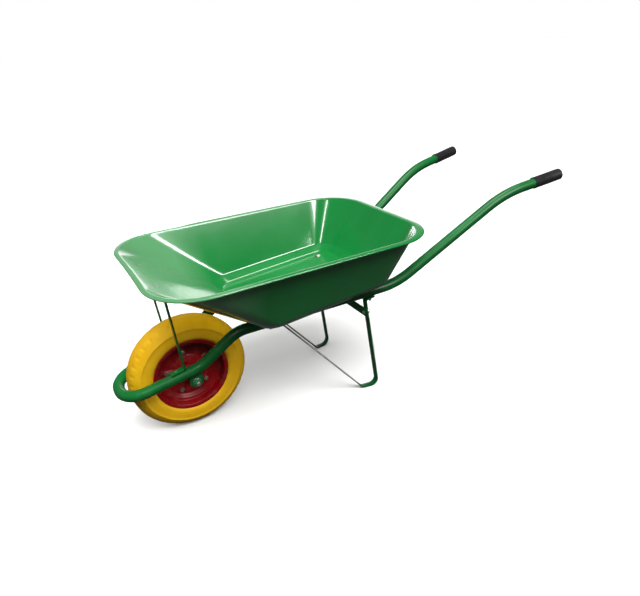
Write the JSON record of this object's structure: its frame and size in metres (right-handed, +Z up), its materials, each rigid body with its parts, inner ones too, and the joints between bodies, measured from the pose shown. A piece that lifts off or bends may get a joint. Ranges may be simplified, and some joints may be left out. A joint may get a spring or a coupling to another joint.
{
  "type": "wheelbarrow",
  "caption": "Steel garden wheelbarrow: pressed tray on a bent tube frame that runs round the front wheel, flat-bar legs, sleeve grips and a free-turning foam-tyred wheel.",
  "frame": {"origin": "on the ground, under the middle of the barrow's length and width", "axes": "+X from the wheel to the handles, +Y to the right of the person pushing, +Z up"},
  "size_m": [1.4402, 0.566, 0.6357],
  "materials": {
    "tray_enamel": "glossy green enamel on pressed sheet steel",
    "frame_enamel": "glossy green enamel on steel tube and flat bar",
    "grip_plastic": "black moulded grip",
    "tyre_foam": "yellow moulded foam",
    "rim_enamel": "dark red enamel on pressed steel",
    "zinc_steel": "zinc-plated steel",
    "bearing_steel": "ground bearing steel",
    "cover_plastic": "black moulded cover"
  },
  "bodies": {
    "frame": {"tray": "tray_enamel", "frame_tube": "frame_enamel", "leg_brace": "frame_enamel", "bearing_spacer": "zinc_steel", "axle": "zinc_steel", "grip_left": "grip_plastic", "leg_left": "frame_enamel", "stay_left": "frame_enamel", "axle_bracket_left": "frame_enamel", "axle_nut_left": "zinc_steel", "axle_washer_left": "zinc_steel", "axle_sleeve_left": "zinc_steel", "bearing_inner_left": "bearing_steel", "leg_bolt_left": "zinc_steel", "leg_nut_left": "zinc_steel", "stay_bolt_left": "zinc_steel", "stay_nut_left": "zinc_steel", "brace_bolt_left": "zinc_steel", "brace_nut_left": "zinc_steel", "strut_rivet_left": "zinc_steel", "stay_rivet_left": "zinc_steel", "grip_right": "grip_plastic", "leg_right": "frame_enamel", "stay_right": "frame_enamel", "axle_bracket_right": "frame_enamel", "axle_nut_right": "zinc_steel", "axle_washer_right": "zinc_steel", "axle_sleeve_right": "zinc_steel", "bearing_inner_right": "bearing_steel", "leg_bolt_right": "zinc_steel", "leg_nut_right": "zinc_steel", "stay_bolt_right": "zinc_steel", "stay_nut_right": "zinc_steel", "brace_bolt_right": "zinc_steel", "brace_nut_right": "zinc_steel", "strut_rivet_right": "zinc_steel", "stay_rivet_right": "zinc_steel"},
    "wheel": {"tyre": "tyre_foam", "rim_left": "rim_enamel", "rim_right": "rim_enamel", "bearing_outer_left": "bearing_steel", "bearing_outer_right": "bearing_steel", "hub_cover_left": "cover_plastic", "hub_cover_right": "cover_plastic", "rim_bolt_1": "zinc_steel", "rim_bolt_2": "zinc_steel", "rim_bolt_3": "zinc_steel", "rim_bolt_4": "zinc_steel", "rim_bolt_5": "zinc_steel", "rim_nut_1": "zinc_steel", "rim_nut_2": "zinc_steel", "rim_nut_3": "zinc_steel", "rim_nut_4": "zinc_steel", "rim_nut_5": "zinc_steel"}
  },
  "joints": [
    {"name": "wheel_spin", "type": "hinge", "parent": "frame", "child": "wheel", "pos_m": [-0.506, 0, 0.175], "axis": [0, 1, 0], "continuous": true}
  ]
}
